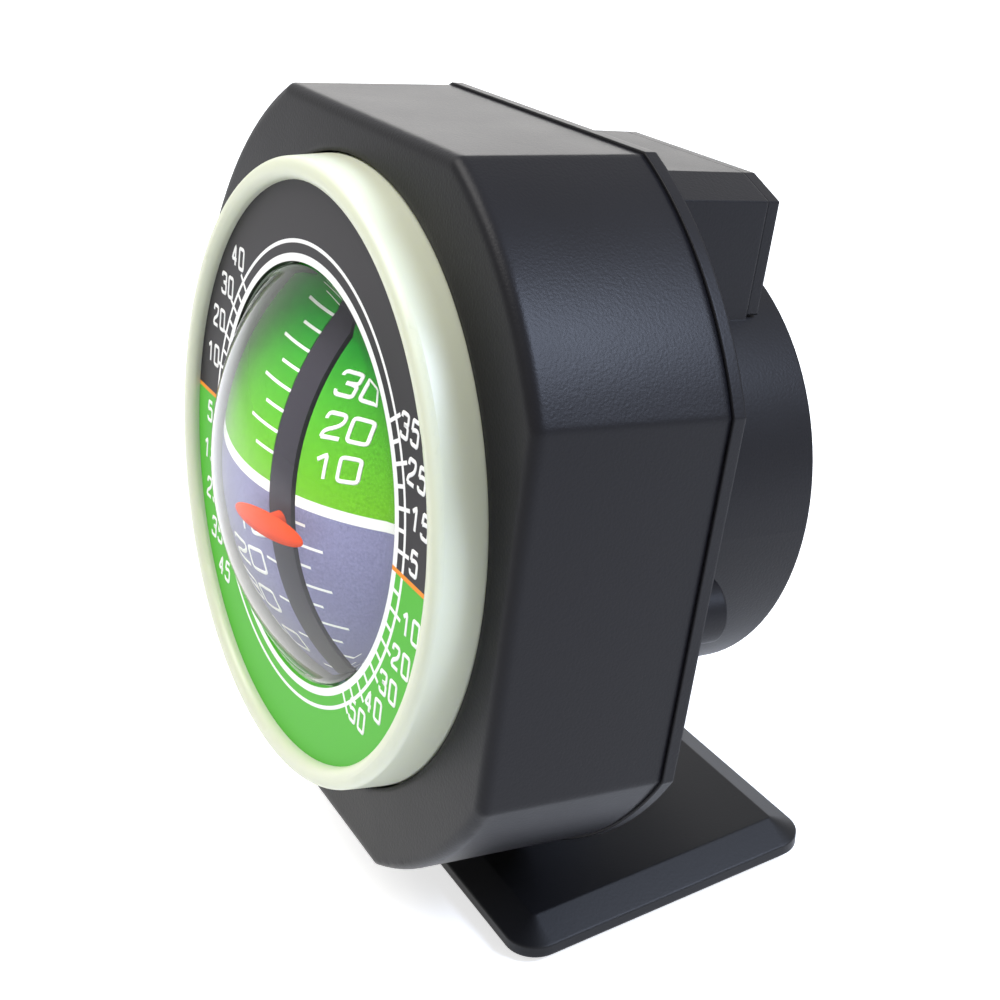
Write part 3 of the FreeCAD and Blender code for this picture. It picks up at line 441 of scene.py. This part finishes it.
class Print:
    """Masks for a printed surface, from coordinates in a frame of its own, in millimetres."""

    def __init__(self, name, own_frame, roughness, **constants):
        self.material = bpy.data.materials.new(name)
        self.material.use_nodes = True
        self.tree = self.material.node_tree
        self.shader = self.tree.nodes["Principled BSDF"]
        self.shader.inputs["Roughness"].default_value = roughness
        for socket, setting in constants.items():
            self.shader.inputs[SOCKETS[socket]].default_value = setting
        place = self.node("TexCoord")
        mapping = self.node("Mapping", vector_type="TEXTURE")
        mapping.inputs["Location"].default_value = own_frame.translation
        mapping.inputs["Rotation"].default_value = own_frame.to_euler("XYZ")
        mapping.inputs["Scale"].default_value = (MM, MM, MM)
        self.tree.links.new(place.outputs["Object"], mapping.inputs["Vector"])
        split = self.node("SeparateXYZ")
        self.tree.links.new(mapping.outputs[0], split.inputs[0])
        self.place = mapping.outputs[0]
        self.x, self.y, self.z = split.outputs

    def node(self, kind, **settings):
        """A node with its settings."""
        node = self.tree.nodes.new("ShaderNode" + kind)
        for key, setting in settings.items():
            setattr(node, key, setting)
        return node

    def math(self, operation, *values):
        """A math node on sockets or numbers."""
        node = self.node("Math", operation=operation)
        for socket, item in zip(node.inputs, values):
            if isinstance(item, (int, float)):
                socket.default_value = item
            else:
                self.tree.links.new(item, socket)
        return node.outputs[0]

    def between(self, item, low, high):
        """1 where item lies between two values."""
        above = self.math("GREATER_THAN", item, low)
        below = self.math("LESS_THAN", item, high)
        return self.math("MULTIPLY", above, below)

    def near_step(self, item, step, shift, reach):
        """1 where item is within reach of a multiple of step, moved by shift."""
        steps = self.math("DIVIDE", self.math("SUBTRACT", item, shift), step)
        part = self.math("FRACT", self.math("ADD", steps, 0.5))
        away = self.math("ABSOLUTE", self.math("SUBTRACT", part, 0.5))
        return self.math("LESS_THAN", self.math("MULTIPLY", away, step), reach)

    def all(self, *masks):
        """Where every mask is 1."""
        result = masks[0]
        for mask in masks[1:]:
            result = self.math("MULTIPLY", result, mask)
        return result

    def any(self, *masks):
        """Where at least one mask is 1."""
        result = masks[0]
        for mask in masks[1:]:
            result = self.math("MAXIMUM", result, mask)
        return result

    def paint(self, under, mask, colour):
        """A colour laid over another one by a mask."""
        mix = self.node("Mix", data_type="RGBA")
        self.tree.links.new(mask, mix.inputs[0])
        for socket, item in ((mix.inputs[6], under), (mix.inputs[7], colour)):
            if isinstance(item, tuple):
                socket.default_value = (*item, 1)
            else:
                self.tree.links.new(item, socket)
        return mix.outputs[2]

    def speckle(self, colour, scale, amount):
        """The colour with a fine grain of lighter and darker specks."""
        noise = self.node("TexNoise")
        noise.inputs["Scale"].default_value = scale
        noise.inputs["Detail"].default_value = 2.0
        self.tree.links.new(self.place, noise.inputs["Vector"])
        change = self.math("SUBTRACT", noise.outputs["Fac"], 0.5)
        factor = self.math("MULTIPLY_ADD", change, amount, 1.0)
        scaled = self.node("VectorMath", operation="SCALE")
        self.tree.links.new(colour, scaled.inputs[0])
        self.tree.links.new(factor, scaled.inputs["Scale"])
        return scaled.outputs[0]

    def finish(self, colour):
        """Feed the finished colour to the shader."""
        self.tree.links.new(colour, self.shader.inputs["Base Color"])
        return self.material


# %% The dial's sizes and colours
THIN_CIRCLE = 20.0
THICK_INNER = 18.3
THICK_OUTER = 18.98
LINE_HALF = 0.17
RUNG_STEP = 5.0
STUB_STEP = 2 * RUNG_STEP
STUB_LENGTH = 0.8
# The left scale runs between these angles, and the right one lies a rung lower
SCALE_LOW = -45.5
SCALE_HIGH = 40.5
# No stub stands within this angle of the orange line, whose half height is the next value
LEVEL_GAP = 2.5
LEVEL_HALF = 0.2
PRINT_WHITE = (0.9, 0.9, 0.88)
DIAL_BLACK = (0.022, 0.020, 0.022)
DIAL_GREEN = (0.085, 0.45, 0.035)
ORANGE = (0.85, 0.28, 0.02)
DIAL_SPECKLE = 9.0
print("dial circles:", THICK_INNER, THICK_OUTER, THIN_CIRCLE, "mm")

# %% The dial's material


def dial_material():
    """Black over green, two circles, rungs, stubs and the orange line."""
    dial = Print("dial_print", dial_frame, 0.5, specular_level=0.2)
    squares = dial.math("ADD", dial.math("POWER", dial.x, 2.0), dial.math("POWER", dial.z, 2.0))
    radius = dial.math("SQRT", squares)
    side = dial.math("ABSOLUTE", dial.x)
    angle = dial.math("MULTIPLY", dial.math("ARCTAN2", dial.z, side), DEGREES)
    reach = dial.math("DIVIDE", LINE_HALF * DEGREES, radius)
    right = dial.math("GREATER_THAN", dial.x, 0.0)
    up = dial.math("GREATER_THAN", dial.z, 0.0)
    low_end = dial.math("MULTIPLY_ADD", right, -RUNG_STEP, SCALE_LOW)
    high_end = dial.math("MULTIPLY_ADD", right, -RUNG_STEP, SCALE_HIGH)
    numbered = dial.between(angle, low_end, high_end)
    rungs = dial.all(
        dial.near_step(angle, RUNG_STEP, 0.0, reach),
        dial.between(radius, THICK_OUTER, THIN_CIRCLE),
        numbered,
    )
    same = dial.math("COMPARE", right, up, 0.1)
    shift = dial.math("MULTIPLY", same, RUNG_STEP)
    stubs = dial.all(
        dial.near_step(angle, STUB_STEP, shift, reach),
        dial.between(radius, THIN_CIRCLE, THIN_CIRCLE + STUB_LENGTH),
        numbered,
    )
    not_level = dial.math("GREATER_THAN", dial.math("ABSOLUTE", angle), LEVEL_GAP)
    circles = dial.any(
        dial.between(radius, THICK_INNER, THICK_OUTER),
        dial.between(radius, THIN_CIRCLE - LINE_HALF, THIN_CIRCLE + LINE_HALF),
    )
    level = dial.math("LESS_THAN", dial.math("ABSOLUTE", dial.z), LEVEL_HALF)
    colour = dial.paint(DIAL_GREEN, up, DIAL_BLACK)
    colour = dial.paint(colour, dial.any(circles, rungs, dial.all(stubs, not_level)), PRINT_WHITE)
    colour = dial.paint(colour, level, ORANGE)
    return dial.finish(dial.speckle(colour, DIAL_SPECKLE, 0.15))


dress(dial_material(), "dial_plate")

# %% [markdown]
# ## The ball's print
#
# The ball shows a green sky, a grey ground and a thick white horizon. Short and long ticks
# stand to the left of the band above the horizon and on both sides of it below. A picture
# would have to be wrapped around the ball; the material finds each place from its height and
# its turn about the pitch axis instead. The ticks run midway between lines of equal height
# and lines of equal turn, which is how the ones in the photograph curve.

# %% The ball's sizes and colours
SKY_LOW = (0.16, 0.47, 0.025)
SKY_HIGH = (0.022, 0.31, 0.032)
GROUND = (0.245, 0.24, 0.40)
BALL_RADIUS = 17.3
UPPER_STEP = 10.4
UPPER_START = 13.7
LOWER_STEP = 11.2
# The ticks' half thickness, and how far they reach from the band
TICK_HALF = 0.12
UPPER_LONG = 6.3
UPPER_SHORT = 4.6
LOWER_LONG = 4.4
LOWER_SHORT = 2.8
LOWER_LEFT = 3.1
HORIZON_HALF = 0.42
# Below the horizon the ticks start under this height
LOWER_TOP = -1.0
BALL_SPECKLE = 5.0
print("ball ticks every", UPPER_STEP, "degrees above and", LOWER_STEP, "below")

# %% The ball's material


def ball_material():
    """Sky, ground, horizon and ticks."""
    ball = Print("ball_print", ball_frame, 0.45, specular_level=0.0)
    height = ball.math("DIVIDE", ball.z, BALL_RADIUS)
    rise = ball.math("ARCSINE", height)
    turn = ball.math("ARCTAN2", ball.z, ball.math("MULTIPLY", ball.y, -1.0))
    angle = ball.math("MULTIPLY", ball.math("ADD", rise, turn), DEGREES / 2)
    up = ball.math("GREATER_THAN", ball.z, 0.0)
    ramp = ball.node("ValToRGB")
    ramp.color_ramp.elements[0].color = (*SKY_LOW, 1)
    ramp.color_ramp.elements[1].color = (*SKY_HIGH, 1)
    ramp.color_ramp.elements[0].position = 0.05
    ramp.color_ramp.elements[1].position = 0.65
    ball.tree.links.new(height, ramp.inputs[0])
    reach = TICK_HALF * DEGREES / BALL_RADIUS
    in_front = ball.math("LESS_THAN", ball.y, 0.0)

    def ticks(step, shift, low, high):
        """Ticks every step degrees, between two distances from the band."""
        lines = ball.near_step(angle, step, shift, reach)
        return ball.all(lines, ball.between(ball.x, low, high), in_front)

    above = ball.math("GREATER_THAN", angle, UPPER_START - 0.75 * UPPER_STEP)
    long_upper = ticks(UPPER_STEP, UPPER_START, -UPPER_LONG, 0.0)
    short_upper = ticks(UPPER_STEP, UPPER_START - UPPER_STEP / 2, -UPPER_SHORT, 0.0)
    upper = ball.all(above, ball.any(long_upper, short_upper))
    long_lower = ticks(LOWER_STEP, 0.0, 0.0, LOWER_LONG)
    short_lower = ticks(LOWER_STEP, LOWER_STEP / 2, 0.0, LOWER_SHORT)
    left_lower = ticks(LOWER_STEP, LOWER_STEP / 4, -LOWER_LEFT, 0.0)
    down = ball.math("LESS_THAN", ball.z, LOWER_TOP)
    lower = ball.all(down, ball.any(long_lower, short_lower, left_lower))
    horizon = ball.math("LESS_THAN", ball.math("ABSOLUTE", ball.z), HORIZON_HALF)
    colour = ball.paint(GROUND, up, ramp.outputs[0])
    colour = ball.speckle(colour, BALL_SPECKLE, 0.7)
    colour = ball.paint(colour, ball.any(upper, lower, horizon), PRINT_WHITE)
    return ball.finish(colour)


dress(ball_material(), "right_ball_half", "left_ball_half")
print("printed nodes: dial_plate, right_ball_half, left_ball_half")

# %% [markdown]
# ## Numbers
#
# The numbers are printed in a plain round-cornered stroke face. A text object would bring its
# own typeface, so each digit is a few strokes here: smooth curves through a small set of
# points on a unit cell, thickened to a flat bead of ink. On the dial the beads lie flat, and
# on the ball they are wrapped around it.

# %% Digits as strokes
DIGIT_WIDTH_SHARE = 0.56
DIGIT_GAP_SHARE = 0.16
ROUND_BOX = [
    (0, 0.3), (0, 0), (0.28, 0), (0.56, 0), (0.56, 0.3),
    (0.56, 0.7), (0.56, 1), (0.28, 1), (0, 1), (0, 0.7),
]
# Each stroke: its points as shares of the digit's height, whether it is smooth, whether it closes
STROKES = {
    "0": [(ROUND_BOX, True, True)],
    "1": [([(0.08, 0.76), (0.36, 1), (0.36, 0)], False, False)],
    "2": [
        ([(0, 0.74), (0, 1), (0.28, 1), (0.56, 1), (0.56, 0.7), (0.4, 0.46), (0, 0.24), (0, 0)], True, False),
        ([(0, 0), (0.56, 0)], False, False),
    ],
    "3": [
        ([(0, 0.8), (0, 1), (0.28, 1), (0.56, 1), (0.56, 0.78), (0.56, 0.54), (0.2, 0.53)], True, False),
        ([(0.2, 0.53), (0.56, 0.53), (0.56, 0.26), (0.56, 0), (0.28, 0), (0, 0), (0, 0.2)], True, False),
    ],
    "4": [([(0.4, 0), (0.4, 1), (0, 0.3), (0.56, 0.3)], False, False)],
    "5": [
        ([(0.52, 1), (0.06, 1), (0.02, 0.56)], False, False),
        (
            [(0.02, 0.56), (0.3, 0.66), (0.56, 0.6), (0.56, 0.3), (0.56, 0), (0.28, 0), (0, 0), (0, 0.18)],
            True,
            False,
        ),
    ],
}
print("digits:", " ".join(STROKES))

# %% A number's mesh


def number_mesh(text, height, stroke, widen=1.0):
    """A flat mesh of a number's strokes, centred on the origin, in metres."""
    data = bpy.data.curves.new("strokes", "CURVE")
    data.dimensions = "3D"
    data.bevel_depth = stroke / 2
    data.bevel_resolution = 1
    data.use_fill_caps = True
    width = DIGIT_WIDTH_SHARE * widen * height
    pitch = width + DIGIT_GAP_SHARE * height + stroke
    start = -(pitch * (len(text) - 1) + width) / 2
    for index, digit in enumerate(text):
        for points, smooth, closed in STROKES[digit]:
            spline = data.splines.new("NURBS")
            spline.points.add(len(points) - 1)
            for point, (x, z) in zip(spline.points, points):
                point.co = (start + index * pitch + x * widen * height, (z - 0.5) * height, 0, 1)
            spline.use_cyclic_u = closed
            spline.order_u = 3 if smooth else 2
            spline.use_endpoint_u = not closed
            spline.resolution_u = 6
    maker = bpy.data.objects.new("strokes", data)
    bpy.context.collection.objects.link(maker)
    mesh = bpy.data.meshes.new_from_object(maker.evaluated_get(bpy.context.evaluated_depsgraph_get()))
    bpy.data.objects.remove(maker)
    bpy.data.curves.remove(data)
    return mesh


def add_piece(name, mesh, material, body):
    """Link a finished mesh as a piece that rides on a body."""
    piece = bpy.data.objects.new(name, mesh)
    bpy.context.collection.objects.link(piece)
    mesh.materials.clear()
    mesh.materials.append(material)
    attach(piece, body)
    return piece


# The ink stands this share of a round bead's height above the surface
INK_HEIGHT_SHARE = 0.12
ink_white = moulded("ink_white", PRINT_WHITE, 0.5, change=0.03, depth=0.1)
print("ink:", ink_white.name)

# %% [markdown]
# ## Numbers on the dial
#
# The dial's numbers mark every other rung. On many gauges they turn with the scale, but here
# they all stand upright, so only their places follow it: the right ones start at the ends of
# their stubs, and the left ones lie on an oval around theirs.

# %% Numbers on the dial
DIAL_NUMBER_HEIGHT = 1.85 * MM
DIAL_STROKE = 0.36 * MM
STUB_END = (THIN_CIRCLE + STUB_LENGTH) * MM
RIGHT_RISE = 19.8 * MM
NUMBER_AWAY = 0.85 * MM
LEFT_REACH = 22.1 * MM
LEFT_RISE = 22.9 * MM
SINGLE_DIGIT_SHARE = 0.99
RIGHT_ANGLES = (5, 15, 25, 35, -10, -20, -30, -40, -50)
LEFT_ANGLES = (10, 20, 30, 40, -5, -15, -25, -35, -45)


def flat_on_dial(mesh, x, z):
    """Lay a number on the dial's front, upright, with its middle at x, z of the dial."""
    cells = bmesh.new()
    cells.from_mesh(mesh)
    bmesh.ops.scale(cells, vec=(1, 1, INK_HEIGHT_SHARE), verts=cells.verts)
    bmesh.ops.transform(cells, matrix=Matrix.Rotation(math.pi / 2, 4, "X"), verts=cells.verts)
    bmesh.ops.translate(cells, vec=(x, 0, z), verts=cells.verts)
    bmesh.ops.transform(cells, matrix=dial_frame, verts=cells.verts)
    cells.to_mesh(mesh)
    cells.free()


def right_place(turn, digits):
    """Right numbers start at the ends of their stubs."""
    return STUB_END * math.cos(turn) + NUMBER_AWAY * digits, RIGHT_RISE * math.sin(turn)


def left_place(turn, digits):
    """Left numbers are centred on an oval around the stubs; single digits stand a little nearer."""
    share = SINGLE_DIGIT_SHARE if digits == 1 else 1.0
    return -LEFT_REACH * math.cos(turn) * share, LEFT_RISE * math.sin(turn)


for side, place, angles in (("right", right_place, RIGHT_ANGLES), ("left", left_place, LEFT_ANGLES)):
    for angle in angles:
        text = str(abs(angle))
        number = number_mesh(text, DIAL_NUMBER_HEIGHT, DIAL_STROKE)
        flat_on_dial(number, *place(math.radians(angle), len(text)))
        half = "up" if angle > 0 else "down"
        add_piece("dial_number_%s_%s_%d" % (side, half, abs(angle)), number, ink_white, "case")
print("dial numbers:", len(RIGHT_ANGLES) + len(LEFT_ANGLES))

# %% [markdown]
# ## Numbers on the ball
#
# The ball's numbers count the degrees of pitch beside the band. Flat numbers would cut into
# the ball or stand off it, so each point of a number is laid on the ball by its distance from
# the band and its turn about the pitch axis. They are wider than the dial's, and their right
# ends are lifted a little, as in the photograph.

# %% Numbers on the ball
BALL_NUMBER_HEIGHT = 1.9 * MM
BALL_STROKE = 0.36 * MM
UPPER_WIDEN = 1.6
LOWER_WIDEN = 2.5
UPPER_LIFT = 0.2
LOWER_LIFT = 0.28


def wrap_on_ball(mesh, x, degrees, lift):
    """Wrap a number on the ball, at a distance from the band and an angle, and lift its right end."""
    cells = bmesh.new()
    cells.from_mesh(mesh)
    bmesh.ops.scale(cells, vec=(1, 1, INK_HEIGHT_SHARE), verts=cells.verts)
    ball_radius = BALL_RADIUS * MM
    for vertex in cells.verts:
        across = x + vertex.co.x
        ring = math.sqrt((ball_radius + vertex.co.z) ** 2 - across ** 2)
        turn = math.radians(degrees) + (vertex.co.y + lift * vertex.co.x) / ball_radius
        vertex.co = (across, -ring * math.cos(turn), ring * math.sin(turn))
    bmesh.ops.transform(cells, matrix=ball_frame, verts=cells.verts)
    cells.to_mesh(mesh)
    cells.free()


# Each number's text, its distance from the band in millimetres and its height in degrees
UPPER_NUMBERS = (("10", 5.3, 11.8), ("20", 5.3, 22.4), ("30", 5.0, 33.2))
LOWER_NUMBERS = (("10", -5.3, -13.0), ("20", -6.9, -25.5), ("30", -7.3, -37.6), ("40", -6.8, -50.0))
for level, numbers, widen, lift in (
    ("up", UPPER_NUMBERS, UPPER_WIDEN, UPPER_LIFT),
    ("down", LOWER_NUMBERS, LOWER_WIDEN, LOWER_LIFT),
):
    for text, across, degrees in numbers:
        number = number_mesh(text, BALL_NUMBER_HEIGHT, BALL_STROKE, widen)
        wrap_on_ball(number, across * MM, degrees, lift)
        add_piece("ball_number_%s_%s" % (level, text), number, ink_white, "ball")
print("ball numbers:", len(UPPER_NUMBERS) + len(LOWER_NUMBERS))

# %% [markdown]
# ## The window and the liquid
#
# The capsule is full of a clear liquid, and the curved window works as a lens: the ball
# seems to fill the window although it sits deeper. A hollow dome of air would not do that, so
# the window here is the one surface where light goes from air into window and liquid. It is a
# profile spun about the dial's axis, of three parts: the cap, a flat foot at the dial and the
# flange behind it. Light that comes straight from a lamp passes it unchanged, or the ball
# would be dark, and a grey specular tint keeps its reflections weaker than plain glass has.

# %% The window's sizes
DOME_EDGE = 17.9 * MM
DOME_BULGE = 6.27 * MM
DOME_FOOT = 0.2 * MM
DOME_RADIUS = (DOME_EDGE ** 2 + DOME_BULGE ** 2) / (2 * DOME_BULGE)
DOME_MIDDLE = DOME_FOOT - DOME_BULGE + DOME_RADIUS
FOOT_RADIUS = 18.1 * MM
FLANGE_FRONT = 0.8 * MM
FLANGE_RADIUS = 23.9 * MM
DOME_STEPS = 28
DOME_TURNS = 128
print("window's radius of curvature:", round(DOME_RADIUS / MM, 2), "mm")

# %% The window's mesh


def window_mesh():
    """The window's front: a cap, a flat foot and the flange behind the dial."""
    cells = bmesh.new()
    rim = math.acos((DOME_MIDDLE - DOME_FOOT) / DOME_RADIUS)
    profile = []
    for step in range(DOME_STEPS + 1):
        turn = rim * step / DOME_STEPS
        profile.append((DOME_RADIUS * math.sin(turn), DOME_MIDDLE - DOME_RADIUS * math.cos(turn)))
    profile += [(FOOT_RADIUS, DOME_FOOT), (FOOT_RADIUS, FLANGE_FRONT), (FLANGE_RADIUS, FLANGE_FRONT)]
    points = [cells.verts.new((x, y, 0)) for x, y in profile]
    edges = [cells.edges.new(pair) for pair in zip(points, points[1:])]
    bmesh.ops.spin(
        cells, geom=points + edges, cent=(0, 0, 0), axis=(0, 1, 0),
        angle=2 * math.pi, steps=DOME_TURNS, use_merge=True,
    )
    bmesh.ops.remove_doubles(cells, verts=cells.verts, dist=0.001 * MM)
    bmesh.ops.recalc_face_normals(cells, faces=cells.faces)
    backward = sum(face.normal.y * face.calc_area() for face in cells.faces)
    if backward > 0:
        bmesh.ops.reverse_faces(cells, faces=cells.faces)
    bmesh.ops.transform(cells, matrix=dial_frame, verts=cells.verts)
    mesh = bpy.data.meshes.new("window")
    cells.to_mesh(mesh)
    cells.free()
    mesh.shade_smooth()
    return mesh


# %% The window's material
WINDOW_IOR = 1.45
WINDOW_COLOUR = (0.98, 1.0, 0.985)
WINDOW_TINT = (0.45, 0.45, 0.45)


def window_material():
    """Clear, a little green, and open to straight light."""
    material = bpy.data.materials.new("window_clear")
    material.use_nodes = True
    tree = material.node_tree
    shader = tree.nodes["Principled BSDF"]
    shader.inputs["Transmission Weight"].default_value = 1.0
    shader.inputs["IOR"].default_value = WINDOW_IOR
    shader.inputs["Roughness"].default_value = 0.0
    shader.inputs["Base Color"].default_value = (*WINDOW_COLOUR, 1)
    shader.inputs["Specular Tint"].default_value = (*WINDOW_TINT, 1)
    path = tree.nodes.new("ShaderNodeLightPath")
    clear = tree.nodes.new("ShaderNodeBsdfTransparent")
    mix = tree.nodes.new("ShaderNodeMixShader")
    tree.links.new(path.outputs["Is Shadow Ray"], mix.inputs[0])
    tree.links.new(shader.outputs[0], mix.inputs[1])
    tree.links.new(clear.outputs[0], mix.inputs[2])
    tree.links.new(mix.outputs[0], tree.nodes["Material Output"].inputs["Surface"])
    return material


window = add_piece("window", window_mesh(), window_material(), "case")
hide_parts("clear_dome")
print("window faces:", len(window.data.polygons))
